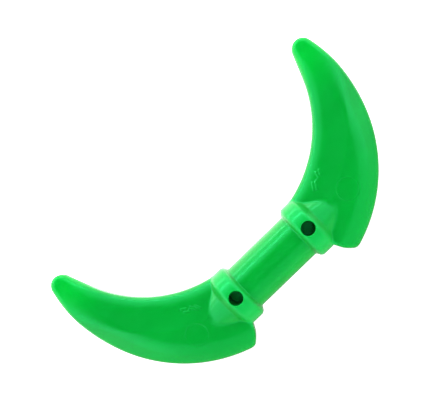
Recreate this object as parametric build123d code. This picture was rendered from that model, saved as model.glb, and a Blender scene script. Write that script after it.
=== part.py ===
"""Toy twin crescent claw: a round grip bar with a curved claw turning on a spigot at each end.

Units are millimetres. The origin is the centre of the grip's axis. +X runs along the grip, +Y points towards
the claw tips, and +Z is normal to the blades and points out of the pin holes.
"""
from build123d import *
from math import acos, atan2, cos, hypot, pi, radians, sin, sqrt, tan
import os

# Grip: a bar with a spigot at each end, on which a claw turns.
BAR_RADIUS = 2.4
BAR_VISIBLE_HALF = 3.65
SPIGOT_RADIUS = 1.5
SPIGOT_END = 6.5
SPIGOT_END_CHAMFER = 0.2

# Snap bead round the spigot, which keeps the claw from pulling off.
BEAD_CENTRE = 6.0
BEAD_HALF_WIDTH = 0.3
BEAD_RISE = 0.1

# Fit of a claw on the grip.
RADIAL_CLEARANCE = 0.05
END_CLEARANCE = 0.03
SOCKET_SPARE = 0.1

# Collar and cone nose of a claw, both round the grip's axis.
COLLAR_RADIUS = 3.0
COLLAR_LENGTH = 2.1
COLLAR_ROUNDING = 0.35
COUNTERBORE_DEPTH = 0.24
NOSE_BASE_RADIUS = 2.42
NOSE_HALF_ANGLE = 21.0
NOSE_LENGTH = 4.2

# Cross hole for a locking pin: open on the +Z side, blind in the spigot.
PIN_HOLE_RADIUS = 0.7
PIN_HOLE_FLOOR = -0.9
PIN_HOLE_CHAMFER = 0.08

# Blade outline of the right-hand claw: a concave inner arc, a straight run to a round tip, a convex outer arc,
# and a short raked end at the heel.
INNER_CENTRE = (2.6, 15.5)
INNER_RADIUS = 12.8
TIP_CENTRE = (16.43, 12.55)
TIP_RADIUS = 1.12
OUTER_CENTRE = (2.7, 9.78)
HEEL_POINT_X = 6.9
HEEL_CORNER = (6.17, -4.38)
HEEL_ROOT = (5.2, -2.6)
HEEL_POINT_ROUNDING = 0.25
HEEL_CORNER_ROUNDING = 0.5

# Blade section: crowned about the inner arc's centre, bevelled about the outer arc's centre.
INNER_EDGE_HALF = 0.77
CROWN_HALF = 1.55
CROWN_DISTANCE = 4.0
CROWN_REACH = 9.0
OUTER_EDGE_HALF = 0.4
BEVEL_ANGLE = 31.0
INNER_EDGE_ROUNDING = 0.3
OUTER_EDGE_ROUNDING = 0.22
SAME_PLACE = 0.02

# How far a cutting solid runs past the surface that it cuts.
OVERSHOOT = 1.0

# Worked out from the sizes above.
OUTER_RADIUS = hypot(TIP_CENTRE[0] - OUTER_CENTRE[0], TIP_CENTRE[1] - OUTER_CENTRE[1]) + TIP_RADIUS
COLLAR_OUTER_FACE = BAR_VISIBLE_HALF + COLLAR_LENGTH
COUNTERBORE_FACE = BAR_VISIBLE_HALF + COUNTERBORE_DEPTH
BAR_END = COUNTERBORE_FACE - END_CLEARANCE
SOCKET_END = SPIGOT_END + SOCKET_SPARE
PIN_HOLE_X = BAR_VISIBLE_HALF + COLLAR_LENGTH / 2


def on_circle(centre, radius, angle):
    """Point on a circle, angle in radians."""
    return (centre[0] + radius * cos(angle), centre[1] + radius * sin(angle))


def arc(centre, radius, start, end):
    """Arc of a circle between two angles in radians."""
    middle = (start + end) / 2
    return ThreePointArc(
        on_circle(centre, radius, start),
        on_circle(centre, radius, middle),
        on_circle(centre, radius, end),
    )


def turned(profile):
    """Solid of revolution about the grip's axis."""
    return revolve(profile, Axis.X, 360)


def turned_about(centre, profile):
    """Solid of revolution about the vertical line through centre. The profile holds radius and height."""
    upright = Plane.XZ * profile
    return Pos(centre[0], centre[1], 0) * revolve(upright, Axis.Z, 360)


def stepped_outline(start, end, extra, end_chamfer):
    """Half section of the spigot with its snap bead, extra larger all round."""
    radius = SPIGOT_RADIUS + extra
    bead_start = BEAD_CENTRE - BEAD_HALF_WIDTH
    bead_end = BEAD_CENTRE + BEAD_HALF_WIDTH
    edges = [
        Polyline((start, 0), (start, radius), (bead_start, radius)),
        ThreePointArc((bead_start, radius), (BEAD_CENTRE, radius + BEAD_RISE), (bead_end, radius)),
    ]
    if end_chamfer > 0:
        edges.append(
            Polyline((bead_end, radius), (end, radius - end_chamfer), (end, 0), (start, 0))
        )
    else:
        edges.append(Polyline((bead_end, radius), (end, radius), (end, 0), (start, 0)))
    return make_face(Curve() + edges)


def grip():
    """Bar, spigots, snap beads and the blind halves of the pin holes."""
    half = turned(make_face(Polyline((0, 0), (0, BAR_RADIUS), (BAR_END, BAR_RADIUS), (BAR_END, 0), (0, 0))))
    half += turned(stepped_outline(BAR_END, SPIGOT_END, 0, SPIGOT_END_CHAMFER))
    hole_length = SPIGOT_RADIUS + OVERSHOOT - PIN_HOLE_FLOOR
    hole_middle = PIN_HOLE_FLOOR + hole_length / 2
    half -= Pos(PIN_HOLE_X, 0, hole_middle) * Cylinder(PIN_HOLE_RADIUS, hole_length)
    return half + half.mirror(Plane.YZ)


def blade_outline():
    """Plan of the right-hand blade."""
    across = (TIP_CENTRE[0] - INNER_CENTRE[0], TIP_CENTRE[1] - INNER_CENTRE[1])
    to_tip = atan2(across[1], across[0])
    leave_inner = to_tip - acos((INNER_RADIUS + TIP_RADIUS) / hypot(*across))
    root_y = INNER_CENTRE[1] - sqrt(INNER_RADIUS**2 - (HEEL_ROOT[0] - INNER_CENTRE[0]) ** 2)
    root_angle = atan2(root_y - INNER_CENTRE[1], HEEL_ROOT[0] - INNER_CENTRE[0])
    outer_start = atan2(TIP_CENTRE[1] - OUTER_CENTRE[1], TIP_CENTRE[0] - OUTER_CENTRE[0])
    outer_end = -acos((HEEL_POINT_X - OUTER_CENTRE[0]) / OUTER_RADIUS)
    heel_point = on_circle(OUTER_CENTRE, OUTER_RADIUS, outer_end)
    root_top = (HEEL_ROOT[0], root_y)
    plan = make_face(
        Curve()
        + [
            arc(INNER_CENTRE, INNER_RADIUS, root_angle, leave_inner),
            Line(
                on_circle(INNER_CENTRE, INNER_RADIUS, leave_inner),
                on_circle(TIP_CENTRE, TIP_RADIUS, leave_inner + pi),
            ),
            arc(TIP_CENTRE, TIP_RADIUS, leave_inner + pi, outer_start),
            arc(OUTER_CENTRE, OUTER_RADIUS, outer_start, outer_end),
            Polyline(heel_point, HEEL_CORNER, HEEL_ROOT, root_top),
        ]
    )
    plan = fillet(nearest_vertex(plan, heel_point), HEEL_POINT_ROUNDING)
    return fillet(nearest_vertex(plan, HEEL_CORNER), HEEL_CORNER_ROUNDING)


def nearest_vertex(face, point):
    """The face's vertex that lies at a point of its plane."""
    return face.vertices().sort_by_distance((point[0], point[1], 0))[0]


def crown_section():
    """Half section of the main faces, measured from the inner arc's centre."""
    rise = CROWN_HALF - INNER_EDGE_HALF
    radius = (CROWN_DISTANCE**2 + rise**2) / (2 * rise)
    ridge = INNER_RADIUS + CROWN_DISTANCE
    first = INNER_RADIUS - OVERSHOOT
    last = INNER_RADIUS + CROWN_REACH

    def height(distance):
        return CROWN_HALF - radius + sqrt(radius**2 - (distance - ridge) ** 2)

    return make_face(
        Curve()
        + [
            ThreePointArc((first, height(first)), (ridge, CROWN_HALF), (last, height(last))),
            Line((last, height(last)), (last, -height(last))),
            ThreePointArc((last, -height(last)), (ridge, -CROWN_HALF), (first, -height(first))),
            Line((first, -height(first)), (first, height(first))),
        ]
    )


def bevel_section():
    """Half section of the double cone that bevels the outer edge, measured from the outer arc's centre."""
    middle = OUTER_EDGE_HALF + OUTER_RADIUS * tan(radians(BEVEL_ANGLE))
    rim_top = (OUTER_RADIUS, OUTER_EDGE_HALF)
    rim_bottom = (OUTER_RADIUS, -OUTER_EDGE_HALF)
    section = make_face(Polyline((0, middle), rim_top, rim_bottom, (0, -middle), (0, middle)))
    section = fillet(nearest_vertex(section, rim_top), OUTER_EDGE_ROUNDING)
    return fillet(nearest_vertex(section, rim_bottom), OUTER_EDGE_ROUNDING)


def is_rim(edge):
    """True for an edge that stays on one side of the middle plane and isn't in the root's face."""
    on_one_side = all(abs(vertex.Z) > SAME_PLACE for vertex in edge.vertices())
    return on_one_side and edge.center().X - HEEL_ROOT[0] > SAME_PLACE


def blade():
    """Curved blade: its plan cut to the crowned section with rounded rims, then bevelled."""
    crowned = extrude(blade_outline(), CROWN_HALF + OVERSHOOT, both=True)
    crowned &= turned_about(INNER_CENTRE, crown_section())
    crowned = fillet([edge for edge in crowned.edges() if is_rim(edge)], INNER_EDGE_ROUNDING)
    return crowned & turned_about(OUTER_CENTRE, bevel_section())


def collar():
    """Collar and cone nose."""
    ring = Pos((BAR_VISIBLE_HALF + COLLAR_OUTER_FACE) / 2, 0, 0) * Rot(0, 90, 0) * Cylinder(
        COLLAR_RADIUS, COLLAR_LENGTH
    )
    ring = fillet(ring.edges().filter_by(GeomType.CIRCLE), COLLAR_ROUNDING)
    tip_radius = NOSE_BASE_RADIUS - NOSE_LENGTH * tan(radians(NOSE_HALF_ANGLE))
    nose_start = COLLAR_OUTER_FACE - COLLAR_ROUNDING
    nose_end = COLLAR_OUTER_FACE + NOSE_LENGTH
    points = [
        (nose_start, 0),
        (nose_start, NOSE_BASE_RADIUS),
        (COLLAR_OUTER_FACE, NOSE_BASE_RADIUS),
        (nose_end, tip_radius),
        (nose_end, 0),
        (nose_start, 0),
    ]
    return ring + turned(make_face(Polyline(*points)))


def claw():
    """Right-hand claw: blade, collar, nose, socket and pin hole in one moulding."""
    before = BAR_VISIBLE_HALF - OVERSHOOT
    socket = stepped_outline(before, SOCKET_END, RADIAL_CLEARANCE, 0)
    return collar() + blade() - turned(socket) - counterbore(before) - pin_hole()


def counterbore(before):
    """Recess in the collar's inner face that the end of the bar enters, cut from x = before."""
    mouth = BAR_RADIUS + RADIAL_CLEARANCE
    corners = [(before, 0), (before, mouth), (COUNTERBORE_FACE, mouth), (COUNTERBORE_FACE, 0), (before, 0)]
    return turned(make_face(Polyline(*corners)))


def pin_hole():
    """Pin hole through the collar's +Z wall, with a chamfered mouth."""
    height = COLLAR_RADIUS + OVERSHOOT
    chamfer_middle = COLLAR_RADIUS - PIN_HOLE_CHAMFER + OVERSHOOT / 2
    drill = Pos(PIN_HOLE_X, 0, height / 2) * Cylinder(PIN_HOLE_RADIUS, height)
    chamfer_cone = Cone(PIN_HOLE_RADIUS, PIN_HOLE_RADIUS + OVERSHOOT, OVERSHOOT)
    return drill + Pos(PIN_HOLE_X, 0, chamfer_middle) * chamfer_cone


os.makedirs("parts", exist_ok=True)
right_claw = claw()
export_step(grip(), "parts/grip.step")
export_step(right_claw, "parts/right_claw.step")
export_step(right_claw.mirror(Plane.YZ), "parts/left_claw.step")
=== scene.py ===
"""Looks of a toy twin crescent claw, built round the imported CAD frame.

Shapes are worked out in millimetres in the CAD's own frame and scaled to metres as each mesh is made. A claw
is a distance field: negative inside the plastic, zero on its surface.
"""
from math import acos, atan2, cos, hypot, pi, radians, sin, tan

import bmesh
import bpy
import numpy as np
from mathutils import Matrix


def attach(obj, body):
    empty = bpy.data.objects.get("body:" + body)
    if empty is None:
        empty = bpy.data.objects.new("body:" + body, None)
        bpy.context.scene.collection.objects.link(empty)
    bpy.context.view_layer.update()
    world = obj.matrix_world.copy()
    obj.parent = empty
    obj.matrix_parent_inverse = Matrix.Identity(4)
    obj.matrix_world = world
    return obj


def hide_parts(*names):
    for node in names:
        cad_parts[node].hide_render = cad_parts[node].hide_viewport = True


MM = 0.001
TINY = 1e-9

# Camera: a pinhole close above the object, on a rig that leans a little against the object's own axes.
# VIEW_WIDTH is the width that it sees at the object's middle.
CAMERA_PLACE = (0.181796, 8.1228, 77.36)
CAMERA_TURN = -0.7743
CAMERA_CLIP = (1.0, 10000.0)
VIEW_WIDTH = 41.4843
SENSOR_WIDTH = 36.0
TIPS_DOWN = radians(3.0)
RIGHT_END_UP = radians(2.68)

# Grip.
BAR_RADIUS = 2.4
BAR_END = 3.86
BAR_VISIBLE_HALF = 3.65
SPIGOT_RADIUS = 1.5
SPIGOT_END = 6.5
SPIGOT_END_CHAMFER = 0.2
SHOULDER_FILLET = 0.2
SHOULDER_TURN = radians(60)
SHOULDER_RADIUS = BAR_RADIUS + SHOULDER_FILLET * (1 - cos(SHOULDER_TURN))
LIP_RADIUS = 2.64
LIP_PROUD = 0.012

# Collar, nose, socket and pin hole of a claw.
COLLAR_RADIUS = 3.0
COLLAR_END = 5.75
COLLAR_ROUNDING = 0.25
COLLAR_DRAFT = radians(30)
NOSE_BASE_RADIUS = 2.42
NOSE_SLOPE = radians(21)
NOSE_END = 9.95
NOSE_FILLET = 0.35
BLADE_FILLET = 0.12
SOCKET_RADIUS = 1.55
SOCKET_END = 6.6
COUNTERBORE_RADIUS = 2.45
COUNTERBORE_END = 3.89
PIN_X = 4.7
PIN_RADIUS = 0.7
PIN_FLOOR = -0.9
PIN_ROUNDING = 0.1

# Outline of the blade.
INNER_CENTRE = (2.6, 15.5)
INNER_RADIUS = 12.8
TIP_CENTRE = (16.43, 12.55)
TIP_RADIUS = 1.12
OUTER_CENTRE = (2.7, 9.78)
OUTER_RADIUS = hypot(TIP_CENTRE[0] - OUTER_CENTRE[0], TIP_CENTRE[1] - OUTER_CENTRE[1]) + TIP_RADIUS
HEEL_POINT_X = 6.9
HEEL_POINT_ROUNDING = 0.25
HEEL_CORNER = (6.17, -4.38)
HEEL_ROOT = (5.2, -2.6)
HEEL_ROUNDING = 0.5

# Thickness of the blade, and how it changes near the tip.
HALF_THICKNESS = 1.6
ROLL_OFF_WIDTH = 1.5
ROLL_OFF_RADIUS = 2.8
ROLL_OFF_LIMIT = 0.9 * ROLL_OFF_RADIUS
RIDGE_DISTANCE = 3.3
RIDGE_SOFTNESS = 0.05
INNER_TILT = radians(7.5)
OUTER_TILT = radians(7.5)
OUTER_EDGE_HALF = 0.4
BEVEL_ANGLE = radians(31)
CREASE_ROUNDING = 0.32
EDGE_ROUNDING = 0.34
TIP_EDGE_HALF = 1.0
TIP_EDGE_ROUNDING = 0.58
TIP_EDGE_BLEND = (1.0, 4.0)
TIP_CREASE_ROUNDING = 1.1
TIP_CREASE_BLEND = (1.0, 8.0)
TIP_FALL = 0.4
TIP_FALL_LENGTH = 5.0

# Witness mark of an ejector pin.
WITNESS_CENTRE = (10.0, 0.0)
WITNESS_RADIUS = 1.1
WITNESS_LINE = 0.035
WITNESS_STEP = 0.012
WITNESS_GROOVE = 0.022

# Small raised bars and dots in the place of moulded lettering, as start and end of each stroke.
RIGHT_MARKS = [
    ((7.62, 2.15), (8.02, 2.75)),
    ((7.9, 2.0), (8.3, 2.6)),
    ((8.5, 2.62), (8.52, 2.64)),
    ((8.8, 2.75), (8.95, 3.2)),
    ((9.1, 2.75), (9.3, 3.2)),
]
LEFT_MARKS = [
    ((7.95, 1.7), (8.15, 2.15)),
    ((8.3, 1.8), (8.55, 2.35)),
    ((8.78, 2.25), (8.8, 2.27)),
    ((9.0, 2.15), (9.35, 2.4)),
    ((9.0, 2.55), (9.4, 2.8)),
]
STROKE_HEIGHT = 0.04
STROKE_HALF_WIDTH = 0.09
STROKE_EDGE = 0.07

# Mesh of a claw.
VOXEL = 0.1
FIELD_STEP = 0.004
LONGEST_MOVE = 0.12
LEAST_SLOPE_SQUARED = 0.05
FIRST_MOVES = 4
RELAX_ROUNDS = 6
RELAX_SHARE = 0.5
LAST_MOVES = 3
INSIDE_BOX = 0.001

# Finer mesh round a pin hole and round the marks: how wide, from what height up, and how often divided.
PIN_DETAIL_WIDTH = 0.25
PIN_DETAIL_HEIGHT = 2.2
PIN_DETAIL_TIMES = 1
WITNESS_DETAIL_WIDTH = 0.14
STROKE_DETAIL_WIDTH = 0.2
MARKS_DETAIL_HEIGHT = 0.5
MARKS_DETAIL_TIMES = 2

# Mesh of the grip.
AROUND = 128
AROUND_PIN_HOLE = 64
BAR_STEPS = 8
FILLET_STEPS = 8
OVERSHOOT = 1.0
SHARP_ANGLE = radians(40)

# Studio walls. BEHIND_FROM and BEHIND_TO say how far a direction points towards the claw tips.
HORIZON_LIGHT = 2.2
ZENITH_LIGHT = 0.15
DARK_LEAN = radians(4)
DARK_FROM = cos(radians(42))
DARK_TO = cos(radians(28))
HORIZON_BEHIND = 0.47
BEHIND_FROM = 0.2
BEHIND_TO = -0.8

# Lamps, with angles in degrees and lengths in metres. Azimuth is counted from +Y towards -X.
LAMP_DISTANCE = 0.42
LAMPS = {
    "key": dict(azimuth=0, elevation=20, width=0.9, height=0.16, radiance=7.0, shines=False),
    "strip_high": dict(azimuth=0, elevation=31, width=0.9, height=0.04, radiance=8.0, lights=False),
    "strip_low": dict(azimuth=0, elevation=3, width=0.9, height=0.03, radiance=8.0, lights=False),
    "side_90": dict(azimuth=90, elevation=35, width=0.5, height=0.16, radiance=1.0),
    "side_270": dict(azimuth=270, elevation=35, width=0.5, height=0.16, radiance=1.0),
    "back": dict(azimuth=180, elevation=8, width=0.9, height=0.16, radiance=11.0, shines=False),
    "overhead": dict(azimuth=0, elevation=90, width=0.15, height=0.15, radiance=8.0, shines=False),
}

# Floor, just below the heel of a claw turned by a right angle.
FLOOR_Z = -4.8
FLOOR_HALF = 600.0
FLOOR_COLOUR = 0.9
FLOOR_ROUGHNESS = 0.9
FLOOR_GLOW = 0.6
BOUNCE_COLOUR = 0.15
BOUNCE_FAR = 0.2
BOUNCE_NEAR = 2.2
BOUNCE_FROM = -6.0
BOUNCE_TO = 8.0

# Plastic, with painted light: a paler green on the collars and a brighter green at the tips stand in for
# light shining through thin plastic. Fades are a share of the collar's half length, and millimetres from the
# tip's centre.
DEEP_GREEN = (0.0004, 0.198, 0.0145, 1)
PALE_GREEN = (0.0006, 0.221, 0.0175, 1)
# Painted light: a paler green on the collars, for light shining through their thin wall.
COLLAR_PAINTED_LIGHT_GREEN = (0.002, 0.262, 0.032, 1)
COLLAR_PAINTED_LIGHT_FADE = (0.75, 1.05)
# Painted light: a brighter green at the claw tips, for light shining through them.
TIP_PAINTED_LIGHT_GREEN = (0.0003, 0.305, 0.02, 1)
TIP_PAINTED_LIGHT_FADE = (0.0, 5.0)
GLOSS_LEVEL = 0.65
GLOSS_TINT = (0.09, 1.0, 0.5, 1)
ROUGHNESS_RANGE = (0.17, 0.27)
SCATTER_WEIGHT = 0.35
SCATTER_RADIUS = (0.15, 1.0, 0.3)
SCATTER_SCALE = 0.6

# Unevenness of the moulded surface: how wide its features are, and how deep.
NOISE_MIDDLE = (0.3, 0.7)
FLOW_SIZE = 3.0
FLOW_STRETCH = (0.4, 1, 1)
HANDLING_SIZE = 1.1
SINK_SIZE = 1.6
SINK_DEPTH = 0.012
GRAIN_SIZE = 0.12
GRAIN_DEPTH = 0.0006
PARTING_HALF_WIDTH = 0.06
PARTING_HEIGHT = 0.02


def keep_both(a, b, r):
    """Intersection of two fields with its edge rounded to r."""
    return np.minimum(-r, np.maximum(a, b)) + np.hypot(np.maximum(r + a, 0), np.maximum(r + b, 0))


def join(a, b, r):
    """Union of two fields with a fillet of radius r."""
    return np.maximum(r, np.minimum(a, b)) - np.hypot(np.maximum(r - a, 0), np.maximum(r - b, 0))


def fade(value, start, end):
    """0 before start, 1 after end, smooth between."""
    t = np.clip((value - start) / (end - start), 0, 1)
    return t * t * (3 - 2 * t)


def away_from(point, x, y):
    """Distance from a point, in the plane."""
    return np.hypot(x - point[0], y - point[1])


def beyond_line(x, y, start, end):
    """Signed distance from the line through two points, positive on the left of start to end."""
    run = np.array(end) - np.array(start)
    run /= np.hypot(*run)
    return run[0] * (y - start[1]) - run[1] * (x - start[0])


def blade_plan(x, y):
    """Distance outside the blade's outline, in the plane."""
    across = np.array(TIP_CENTRE) - np.array(INNER_CENTRE)
    leave = atan2(across[1], across[0]) - acos((INNER_RADIUS + TIP_RADIUS) / np.hypot(*across))
    normal = np.array([cos(leave), sin(leave)])
    from_inner = (x - INNER_CENTRE[0], y - INNER_CENTRE[1])
    past_arc = normal[0] * from_inner[1] - normal[1] * from_inner[0] > 0
    straight = INNER_RADIUS - normal[0] * from_inner[0] - normal[1] * from_inner[1]
    inner = np.where(past_arc, straight, INNER_RADIUS - np.hypot(*from_inner))
    outer = away_from(OUTER_CENTRE, x, y) - OUTER_RADIUS
    heel_y = OUTER_CENTRE[1] - (OUTER_RADIUS**2 - (HEEL_POINT_X - OUTER_CENTRE[0]) ** 2) ** 0.5
    end_edge = beyond_line(x, y, HEEL_CORNER, (HEEL_POINT_X, heel_y))
    side_edge = beyond_line(x, y, HEEL_ROOT, HEEL_CORNER)
    heel = keep_both(-end_edge, -side_edge, HEEL_ROUNDING)
    sides = keep_both(keep_both(outer, heel, HEEL_POINT_ROUNDING), inner, EDGE_ROUNDING)
    tip_start = atan2(TIP_CENTRE[1] - OUTER_CENTRE[1], TIP_CENTRE[0] - OUTER_CENTRE[0])
    turn = np.arctan2(y - TIP_CENTRE[1], x - TIP_CENTRE[0])
    in_tip = (turn > tip_start) & (turn < leave + pi)
    cap = away_from(TIP_CENTRE, x, y) - TIP_RADIUS
    root = HEEL_ROOT[0] - x
    return np.maximum(np.where(in_tip, cap, sides), root)


def soft_ramp(value):
    """0 below zero and value above it, with a soft bend between."""
    return (value + np.hypot(value, RIDGE_SOFTNESS)) / 2


def face_height(x, y):
    """Half thickness of the blade before its bevel.

    It is thin at the inner edge, highest on a faint ridge, and low at the tip.
    """
    from_edge = away_from(INNER_CENTRE, x, y) - INNER_RADIUS
    inside = np.clip(ROLL_OFF_WIDTH - from_edge, 0, ROLL_OFF_LIMIT)
    roll_off = ROLL_OFF_RADIUS - np.sqrt(ROLL_OFF_RADIUS**2 - inside**2)
    rise = tan(INNER_TILT) * soft_ramp(RIDGE_DISTANCE - from_edge)
    fall = tan(OUTER_TILT) * soft_ramp(from_edge - RIDGE_DISTANCE)
    near_tip = np.clip(1 - away_from(TIP_CENTRE, x, y) / TIP_FALL_LENGTH, 0, 1)
    return HALF_THICKNESS - roll_off - rise - fall - TIP_FALL * near_tip**2


def blade_field(x, y, z):
    """Curved blade, bevelled along its outer edge and rounder towards the tip."""
    height = np.abs(z)
    from_tip = away_from(TIP_CENTRE, x, y)
    near_tip = 1 - fade(from_tip, *TIP_CREASE_BLEND)
    crown = (height - face_height(x, y)) * cos(INNER_TILT)
    from_rim = away_from(OUTER_CENTRE, x, y) - OUTER_RADIUS
    rim_half = OUTER_EDGE_HALF + (TIP_EDGE_HALF - OUTER_EDGE_HALF) * near_tip
    bevel = from_rim * sin(BEVEL_ANGLE) + (height - rim_half) * cos(BEVEL_ANGLE)
    crease = CREASE_ROUNDING + (TIP_CREASE_ROUNDING - CREASE_ROUNDING) * near_tip
    at_tip = 1 - fade(from_tip, *TIP_EDGE_BLEND)
    edge = EDGE_ROUNDING + (TIP_EDGE_ROUNDING - EDGE_ROUNDING) * at_tip
    return keep_both(blade_plan(x, y), keep_both(crown, bevel, crease), edge)


def collar_field(x, from_axis):
    """Collar with drafted ends, and cone nose."""
    above_bar = from_axis - SHOULDER_RADIUS
    to_bar = (BAR_VISIBLE_HALF - x) * cos(COLLAR_DRAFT) + above_bar * sin(COLLAR_DRAFT)
    to_nose = (x - COLLAR_END) * cos(COLLAR_DRAFT) + above_bar * sin(COLLAR_DRAFT)
    ends = np.maximum(np.maximum(to_bar, to_nose), np.maximum(BAR_VISIBLE_HALF - x, x - COLLAR_END))
    ring = keep_both(from_axis - COLLAR_RADIUS, ends, COLLAR_ROUNDING)
    cone_radius = NOSE_BASE_RADIUS - np.maximum(x - COLLAR_END, 0) * tan(NOSE_SLOPE)
    nose = (from_axis - cone_radius) * cos(NOSE_SLOPE)
    nose = np.maximum(nose, np.maximum(COLLAR_END - COLLAR_ROUNDING - x, x - NOSE_END))
    return join(ring, nose, NOSE_FILLET)


def stroke_distance(x, y, stroke):
    """Distance from a straight stroke between two points."""
    start, end = np.array(stroke[0]), np.array(stroke[1])
    run = end - start
    t = np.clip(((x - start[0]) * run[0] + (y - start[1]) * run[1]) / max(run @ run, FIELD_STEP**2), 0, 1)
    return np.hypot(x - start[0] - t * run[0], y - start[1] - t * run[1])


def relief(x, y, strokes):
    """Height of the small moulded marks on the upper face."""
    from_witness = away_from(WITNESS_CENTRE, x, y) - WITNESS_RADIUS
    height = -WITNESS_STEP * (1 - fade(from_witness, -WITNESS_LINE, WITNESS_LINE))
    height -= WITNESS_GROOVE * np.exp(-((from_witness / WITNESS_LINE) ** 2))
    for stroke in strokes:
        from_edge = stroke_distance(x, y, stroke) - STROKE_HALF_WIDTH
        height += STROKE_HEIGHT * (1 - fade(from_edge, -STROKE_EDGE, STROKE_EDGE))
    return height


def claw_field(points, strokes):
    """Field of the right-hand claw, a hair smaller all over so that it stays inside the CAD's box."""
    x, y, z = points.T
    from_axis = np.hypot(y, z)
    field = join(collar_field(x, from_axis), blade_field(x, y, z), BLADE_FILLET)
    field = field - np.where(z > 0, relief(x, y, strokes), 0)
    socket = np.maximum(from_axis - SOCKET_RADIUS, x - SOCKET_END)
    counterbore = np.maximum(from_axis - COUNTERBORE_RADIUS, x - COUNTERBORE_END)
    field = np.maximum(field, -np.minimum(socket, counterbore))
    pin_hole = np.maximum(np.hypot(x - PIN_X, y) - PIN_RADIUS, -z)
    return keep_both(field, -pin_hole, PIN_ROUNDING) + INSIDE_BOX


def gradient(field, points):
    """Slope of the field at each point."""
    steps = np.eye(3) * FIELD_STEP
    return np.stack([(field(points + s) - field(points - s)) / (2 * FIELD_STEP) for s in steps], 1)


def onto_surface(field, points, times):
    """Moves points to the field's zero."""
    for _ in range(times):
        slope = gradient(field, points)
        slope_squared = np.maximum((slope**2).sum(1), LEAST_SLOPE_SQUARED)
        move = field(points)[:, None] * slope / slope_squared[:, None]
        length = np.linalg.norm(move, axis=1)[:, None]
        points = points - move * np.minimum(1, LONGEST_MOVE / np.maximum(length, TINY))
    return points


def relax(field, points, pairs, times):
    """Evens out the spacing of points along the surface."""
    count = np.bincount(pairs.ravel(), minlength=len(points))[:, None]
    for _ in range(times):
        total = np.zeros_like(points)
        for axis in range(3):
            total[:, axis] = np.bincount(pairs[:, 0], points[pairs[:, 1], axis], len(points))
            total[:, axis] += np.bincount(pairs[:, 1], points[pairs[:, 0], axis], len(points))
        points = (1 - RELAX_SHARE) * points + RELAX_SHARE * total / count
        points = onto_surface(field, points, 1)
    return points


def add_object(name, data):
    """New object in the scene."""
    thing = bpy.data.objects.new(name, data)
    bpy.context.scene.collection.objects.link(thing)
    return thing


def remeshed(source):
    """bmesh of a CAD mesh in millimetres, made of even quads."""
    mesh = source.copy()
    mesh.transform(Matrix.Scale(1 / MM, 4))
    work = add_object("work", mesh)
    modifier = work.modifiers.new("even", "REMESH")
    modifier.mode = "VOXEL"
    modifier.voxel_size = VOXEL
    graph = bpy.context.evaluated_depsgraph_get()
    even = bmesh.new()
    even.from_mesh(work.evaluated_get(graph).to_mesh())
    bpy.data.objects.remove(work)
    bpy.data.meshes.remove(mesh)
    return even


def refine(even, wanted, times):
    """Divides the mesh where wanted(points) is true."""
    for _ in range(times):
        points = np.array([v.co for v in even.verts])
        chosen = wanted(points)
        edges = [e for e in even.edges if chosen[e.verts[0].index] and chosen[e.verts[1].index]]
        bmesh.ops.subdivide_edges(even, edges=edges, cuts=1, use_grid_fill=True)
        even.verts.index_update()


def near_pin_hole(points):
    """True round the mouth of the pin hole."""
    x, y, z = points.T
    at_mouth = np.abs(np.hypot(x - PIN_X, y) - PIN_RADIUS) < PIN_DETAIL_WIDTH
    return at_mouth & (z > PIN_DETAIL_HEIGHT)


def near_marks(points, strokes):
    """True along the witness circle and the strokes."""
    x, y, z = points.T
    ring = np.abs(away_from(WITNESS_CENTRE, x, y) - WITNESS_RADIUS) < WITNESS_DETAIL_WIDTH
    near = np.min([stroke_distance(x, y, stroke) for stroke in strokes], 0) < STROKE_DETAIL_WIDTH
    return (ring | near) & (z > MARKS_DETAIL_HEIGHT)


def finish_piece(work, name, node, body):
    """Object from a bmesh in metres, which rides on a body and stands for a CAD node."""
    mesh = bpy.data.meshes.new(name)
    for face in work.faces:
        face.smooth = True
    work.to_mesh(mesh)
    work.free()
    piece = add_object(name, mesh)
    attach(piece, body)
    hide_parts(node)
    return piece


def make_claw(name, node, body, source, strokes, mirrored):
    """A claw's whole skin, from the CAD's right-hand claw. The left-hand one is mirrored."""
    even = remeshed(source)
    refine(even, near_pin_hole, PIN_DETAIL_TIMES)
    refine(even, lambda points: near_marks(points, strokes), MARKS_DETAIL_TIMES)

    def field(points):
        return claw_field(points, strokes)

    points = np.array([v.co for v in even.verts])
    pairs = np.array([[v.index for v in e.verts] for e in even.edges])
    points = onto_surface(field, points, FIRST_MOVES)
    points = relax(field, points, pairs, RELAX_ROUNDS)
    points = onto_surface(field, points, LAST_MOVES)
    if mirrored:
        points = points * (-1, 1, 1)
    for vertex, point in zip(even.verts, points):
        vertex.co = point * MM
    if mirrored:
        bmesh.ops.reverse_faces(even, faces=even.faces)
    return finish_piece(even, name, node, body)


def grip_profile():
    """Half profile of the grip from its middle to its end, as (x, radius)."""
    flare_start = BAR_VISIBLE_HALF - SHOULDER_FILLET * sin(SHOULDER_TURN)
    points = [(flare_start * i / BAR_STEPS, BAR_RADIUS) for i in range(BAR_STEPS)]
    for i in range(FILLET_STEPS + 1):
        turn = i / FILLET_STEPS * SHOULDER_TURN
        x = flare_start + SHOULDER_FILLET * sin(turn)
        points.append((x, BAR_RADIUS + SHOULDER_FILLET * (1 - cos(turn))))
    lip_end = BAR_VISIBLE_HALF + (LIP_RADIUS - SHOULDER_RADIUS) * tan(COLLAR_DRAFT)
    points += [
        (lip_end - LIP_PROUD, LIP_RADIUS),
        (lip_end + LIP_PROUD, LIP_RADIUS - LIP_PROUD),
        (BAR_END, BAR_RADIUS),
        (BAR_END, SPIGOT_RADIUS),
        (SPIGOT_END - SPIGOT_END_CHAMFER, SPIGOT_RADIUS),
        (SPIGOT_END, SPIGOT_RADIUS - SPIGOT_END_CHAMFER),
    ]
    return points


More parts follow.
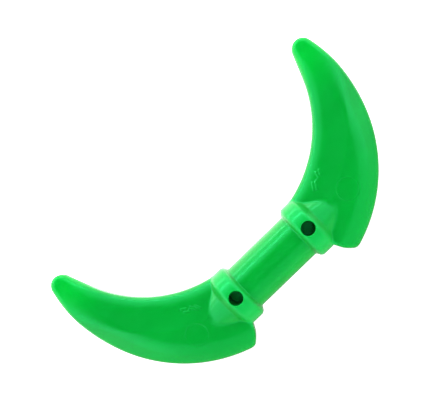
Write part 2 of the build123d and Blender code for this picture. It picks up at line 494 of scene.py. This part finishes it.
def make_drill():
    """Two upright rods that leave the pin holes."""
    rods = bmesh.new()
    length = SPIGOT_RADIUS + OVERSHOOT - PIN_FLOOR
    for x in (-PIN_X, PIN_X):
        bmesh.ops.create_cone(
            rods,
            cap_ends=True,
            segments=AROUND_PIN_HOLE,
            radius1=PIN_RADIUS * MM,
            radius2=PIN_RADIUS * MM,
            depth=length * MM,
            matrix=Matrix.Translation((x * MM, 0, (PIN_FLOOR + length / 2) * MM)),
        )
    mesh = bpy.data.meshes.new("drill")
    rods.to_mesh(mesh)
    rods.free()
    return add_object("drill", mesh)


def cut_pin_holes(piece):
    """Takes the pin holes out of the grip's spigots."""
    drill = make_drill()
    modifier = piece.modifiers.new("pin_holes", "BOOLEAN")
    modifier.operation = "DIFFERENCE"
    modifier.solver = "EXACT"
    modifier.object = drill
    graph = bpy.context.evaluated_depsgraph_get()
    cut = bpy.data.meshes.new_from_object(piece.evaluated_get(graph))
    piece.modifiers.clear()
    piece.data = cut
    cut.name = piece.name
    cut.set_sharp_from_angle(angle=SHARP_ANGLE)
    mesh = drill.data
    bpy.data.objects.remove(drill)
    bpy.data.meshes.remove(mesh)


def make_grip(name, node, body):
    """The grip turned on a lathe, with the blind pin holes cut into its spigots."""
    half = grip_profile()
    profile = [(-x, r) for x, r in reversed(half[1:])] + half
    turns = [2 * pi * i / AROUND for i in range(AROUND)]
    work = bmesh.new()
    rings = []
    for x, r in profile:
        rings.append([work.verts.new((x * MM, r * cos(t) * MM, r * sin(t) * MM)) for t in turns])
    for near, far in zip(rings, rings[1:]):
        for i in range(AROUND):
            j = (i + 1) % AROUND
            work.faces.new((near[i], near[j], far[j], far[i]))
    work.faces.new(list(reversed(rings[0])))
    work.faces.new(rings[-1])
    bmesh.ops.recalc_face_normals(work, faces=work.faces)
    piece = finish_piece(work, name, node, body)
    cut_pin_holes(piece)
    return piece


def camera_rig():
    """Rows are the camera rig's axes in the object's frame."""
    ca, sa = cos(TIPS_DOWN), sin(TIPS_DOWN)
    cb, sb = cos(RIGHT_END_UP), sin(RIGHT_END_UP)
    about_x = np.array([[1, 0, 0], [0, ca, sa], [0, -sa, ca]])
    about_y = np.array([[cb, 0, -sb], [0, 1, 0], [sb, 0, cb]])
    return about_y @ about_x


def placed(right, up, back, place):
    """Matrix of a camera or lamp from its three axes and its place. It looks away from its back."""
    return Matrix([[right[i], up[i], back[i], place[i]] for i in range(3)] + [[0, 0, 0, 1]])


def make_camera():
    rig = camera_rig()
    right = rig.T @ np.array([cos(CAMERA_TURN), sin(CAMERA_TURN), 0])
    up = rig.T @ np.array([-sin(CAMERA_TURN), cos(CAMERA_TURN), 0])
    back = rig.T @ np.array([0, 0, 1])
    data = bpy.data.cameras.new("camera")
    data.sensor_width = SENSOR_WIDTH
    data.lens = SENSOR_WIDTH * CAMERA_PLACE[2] / VIEW_WIDTH
    data.clip_start = CAMERA_CLIP[0] * MM
    data.clip_end = CAMERA_CLIP[1] * MM
    camera = add_object("camera", data)
    camera.matrix_world = placed(right, up, back, rig.T @ np.array(CAMERA_PLACE) * MM)
    bpy.context.scene.camera = camera


def make_softbox(name, azimuth, elevation, width, height, radiance, lights=True, shines=True):
    """Rectangular lamp that faces the object.

    Without lights it only shows as a reflection, and without shines it has none.
    """
    turn, rise = radians(azimuth), radians(elevation)
    back = np.array([-sin(turn) * cos(rise), cos(turn) * cos(rise), sin(rise)])
    side = np.array([-cos(turn), -sin(turn), 0])
    lamp = bpy.data.lights.new(name, "AREA")
    lamp.shape = "RECTANGLE"
    lamp.size = width
    lamp.size_y = height
    lamp.energy = radiance * pi * width * height
    softbox = add_object(name, lamp)
    softbox.matrix_world = placed(side, np.cross(back, side), back, back * LAMP_DISTANCE)
    softbox.visible_diffuse = lights
    softbox.visible_glossy = shines


def add_node(tree, kind, **settings):
    """New node with its own settings."""
    node = tree.nodes.new(kind)
    for key, value in settings.items():
        setattr(node, key, value)
    return node


def coordinates(tree, vector):
    """X, Y and Z of a vector."""
    node = add_node(tree, "ShaderNodeSeparateXYZ")
    tree.links.new(vector, node.inputs[0])
    return [node.outputs[axis] for axis in "XYZ"]


def math_node(tree, operation, first, second=None):
    """Result of a calculation on numbers or sockets."""
    node = add_node(tree, "ShaderNodeMath", operation=operation)
    for value, socket in zip((first, second), node.inputs):
        if isinstance(value, (int, float)):
            socket.default_value = value
        elif value is not None:
            tree.links.new(value, socket)
    return node.outputs["Value"]


def length_of(tree, first, second):
    """Length of a vector from its two parts at right angles."""
    squares = [math_node(tree, "MULTIPLY", value, value) for value in (first, second)]
    return math_node(tree, "SQRT", math_node(tree, "ADD", *squares))


def spread(tree, value, low, high, out_low, out_high):
    """Smooth step of a value from one range to another."""
    ramp = add_node(tree, "ShaderNodeMapRange", interpolation_type="SMOOTHSTEP")
    limits = {"From Min": low, "From Max": high, "To Min": out_low, "To Max": out_high}
    for key, number in limits.items():
        ramp.inputs[key].default_value = number
    tree.links.new(value, ramp.inputs["Value"])
    return ramp.outputs["Result"]


def mixed(tree, factor, first, second):
    """Colour between first, which is a colour or a socket, and second, which is a colour."""
    node = add_node(tree, "ShaderNodeMix", data_type="RGBA")
    if isinstance(first, tuple):
        node.inputs["A"].default_value = first
    else:
        tree.links.new(first, node.inputs["A"])
    node.inputs["B"].default_value = second
    tree.links.new(factor, node.inputs["Factor"])
    return node.outputs["Result"]


def noise(tree, place, features, detail, stretch=(1, 1, 1)):
    """Noise whose features are about so many millimetres across."""
    mapping = add_node(tree, "ShaderNodeMapping")
    mapping.inputs["Scale"].default_value = stretch
    texture = add_node(tree, "ShaderNodeTexNoise")
    texture.inputs["Scale"].default_value = 1 / (features * MM)
    texture.inputs["Detail"].default_value = detail
    tree.links.new(place, mapping.inputs["Vector"])
    tree.links.new(mapping.outputs["Vector"], texture.inputs["Vector"])
    return texture.outputs["Fac"]


def bump(tree, height, depth, below=None):
    """Bump whose full height is so many millimetres, on top of the one below."""
    node = add_node(tree, "ShaderNodeBump")
    node.inputs["Strength"].default_value = 1
    node.inputs["Distance"].default_value = depth * MM
    tree.links.new(height, node.inputs["Height"])
    if below is not None:
        tree.links.new(below, node.inputs["Normal"])
    return node.outputs["Normal"]


def make_world():
    """Studio walls.

    They are bright round the horizon, dimmer behind the grip, and dark overhead with a lean to the tips.
    """
    world = bpy.data.worlds.new("studio")
    bpy.context.scene.world = world
    world.use_nodes = True
    tree = world.node_tree
    direction = add_node(tree, "ShaderNodeTexCoord").outputs["Generated"]
    towards_dark = add_node(tree, "ShaderNodeVectorMath", operation="DOT_PRODUCT")
    towards_dark.inputs[1].default_value = (0, sin(DARK_LEAN), cos(DARK_LEAN))
    tree.links.new(direction, towards_dark.inputs[0])
    from_horizon = towards_dark.outputs["Value"]
    walls = spread(tree, from_horizon, DARK_FROM, DARK_TO, HORIZON_LIGHT, ZENITH_LIGHT)
    _, to_tips, _ = coordinates(tree, direction)
    behind = spread(tree, to_tips, BEHIND_TO, BEHIND_FROM, HORIZON_BEHIND, 1)
    background = tree.nodes["Background"]
    tree.links.new(math_node(tree, "MULTIPLY", walls, behind), background.inputs["Strength"])
    background.inputs["Color"].default_value = (1, 1, 1, 1)


def make_floor(name, colour, seen):
    """White sweep.

    The camera sees one that is evenly pale. The other, unseen, lights the object from below.
    """
    mesh = bpy.data.meshes.new(name)
    half, z = FLOOR_HALF * MM, FLOOR_Z * MM
    corners = [(-half, -half, z), (half, -half, z), (half, half, z), (-half, half, z)]
    mesh.from_pydata(corners, [], [(0, 1, 2, 3)])
    floor = add_object(name, mesh)
    material = bpy.data.materials.new(name)
    material.use_nodes = True
    shader = material.node_tree.nodes["Principled BSDF"]
    shader.inputs["Base Color"].default_value = (colour, colour, colour, 1)
    shader.inputs["Roughness"].default_value = FLOOR_ROUGHNESS
    shader.inputs["Emission Color"].default_value = (1, 1, 1, 1)
    shader.inputs["Emission Strength"].default_value = FLOOR_GLOW
    if not seen:
        glow_towards_tips(material.node_tree, shader)
    mesh.materials.append(material)
    floor.visible_camera = seen
    floor.visible_diffuse = not seen
    floor.visible_glossy = not seen
    floor.visible_shadow = not seen


def glow_towards_tips(tree, shader):
    """Floor light that grows from the shaded side behind the grip to the lit side in front of it."""
    place = add_node(tree, "ShaderNodeTexCoord").outputs["Object"]
    _, y, _ = coordinates(tree, place)
    glow = spread(tree, y, BOUNCE_FROM * MM, BOUNCE_TO * MM, BOUNCE_FAR, BOUNCE_NEAR)
    tree.links.new(glow, shader.inputs["Emission Strength"])


def painted_collar_light(tree, place):
    """Painted light: 1 on the collars, painted paler for light shining through their thin wall, and 0
    elsewhere.
    """
    x, y, z = coordinates(tree, place)
    middle = (BAR_VISIBLE_HALF + COLLAR_END) / 2 * MM
    half = (COLLAR_END - BAR_VISIBLE_HALF) / 2 * MM
    along = math_node(tree, "ABSOLUTE", x)
    from_middle = math_node(tree, "ABSOLUTE", math_node(tree, "SUBTRACT", along, middle))
    within = spread(tree, from_middle, COLLAR_PAINTED_LIGHT_FADE[0] * half, COLLAR_PAINTED_LIGHT_FADE[1] * half, 1, 0)
    from_axis = length_of(tree, y, z)
    raised = spread(tree, from_axis, BAR_RADIUS * MM, (COLLAR_RADIUS - COLLAR_ROUNDING) * MM, 0, 1)
    return math_node(tree, "MULTIPLY", within, raised)


def painted_tip_light(tree, place):
    """Painted light: 1 at the thin claw tips, painted brighter for light shining through them, and 0 further
    along the blades.
    """
    x, y, _ = coordinates(tree, place)
    along = math_node(tree, "SUBTRACT", math_node(tree, "ABSOLUTE", x), TIP_CENTRE[0] * MM)
    across = math_node(tree, "SUBTRACT", y, TIP_CENTRE[1] * MM)
    from_tip = length_of(tree, along, across)
    return spread(tree, from_tip, TIP_PAINTED_LIGHT_FADE[0] * MM, TIP_PAINTED_LIGHT_FADE[1] * MM, 1, 0)


def parting_line(tree, place):
    """1 on the mould's parting plane, which is the middle of the blades, and 0 away from it."""
    _, _, z = coordinates(tree, place)
    return spread(tree, math_node(tree, "ABSOLUTE", z), 0, PARTING_HALF_WIDTH * MM, 1, 0)


def make_plastic():
    """Glossy, slightly translucent green moulding compound, with painted light on the collars and tips."""
    material = bpy.data.materials.new("green_plastic")
    material.use_nodes = True
    tree = material.node_tree
    shader = tree.nodes["Principled BSDF"]
    shader.inputs["Specular IOR Level"].default_value = GLOSS_LEVEL
    shader.inputs["Specular Tint"].default_value = GLOSS_TINT
    shader.inputs["Subsurface Weight"].default_value = SCATTER_WEIGHT
    shader.inputs["Subsurface Radius"].default_value = SCATTER_RADIUS
    shader.inputs["Subsurface Scale"].default_value = SCATTER_SCALE * MM
    place = add_node(tree, "ShaderNodeTexCoord").outputs["Object"]

    flow = noise(tree, place, FLOW_SIZE, detail=2, stretch=FLOW_STRETCH)
    colour = mixed(tree, spread(tree, flow, *NOISE_MIDDLE, 0, 1), DEEP_GREEN, PALE_GREEN)
    # Painted light: a paler green on the collars, for light shining through their thin wall.
    colour = mixed(tree, painted_collar_light(tree, place), colour, COLLAR_PAINTED_LIGHT_GREEN)
    # Painted light: a brighter green at the claw tips, for light shining through them.
    colour = mixed(tree, painted_tip_light(tree, place), colour, TIP_PAINTED_LIGHT_GREEN)
    tree.links.new(colour, shader.inputs["Base Color"])

    handling = noise(tree, place, HANDLING_SIZE, detail=4)
    roughness = spread(tree, handling, *NOISE_MIDDLE, *ROUGHNESS_RANGE)
    tree.links.new(roughness, shader.inputs["Roughness"])

    surface = bump(tree, noise(tree, place, SINK_SIZE, detail=1), SINK_DEPTH)
    surface = bump(tree, noise(tree, place, GRAIN_SIZE, detail=2), GRAIN_DEPTH, surface)
    surface = bump(tree, parting_line(tree, place), PARTING_HEIGHT, surface)
    tree.links.new(surface, shader.inputs["Normal"])
    return material


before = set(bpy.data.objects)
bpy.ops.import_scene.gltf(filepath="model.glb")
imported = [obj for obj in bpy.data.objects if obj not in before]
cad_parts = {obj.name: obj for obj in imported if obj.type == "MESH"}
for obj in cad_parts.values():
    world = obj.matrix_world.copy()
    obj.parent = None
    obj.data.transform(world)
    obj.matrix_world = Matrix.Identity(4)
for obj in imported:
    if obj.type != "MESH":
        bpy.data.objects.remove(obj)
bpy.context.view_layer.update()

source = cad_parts["right_claw"].data
right = make_claw("right_claw_moulding", "right_claw", "right_claw", source, RIGHT_MARKS, False)
left = make_claw("left_claw_moulding", "left_claw", "left_claw", source, LEFT_MARKS, True)
grip = make_grip("grip_moulding", "grip", "grip")

for name, settings in LAMPS.items():
    make_softbox(name, **settings)
make_camera()
make_world()
make_floor("floor_seen", FLOOR_COLOUR, True)
make_floor("floor_bounce", BOUNCE_COLOUR, False)

plastic = make_plastic()
for thing in (*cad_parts.values(), right, left, grip):
    thing.data.materials.clear()
    thing.data.materials.append(plastic)
bpy.context.scene.view_settings.view_transform = "Standard"
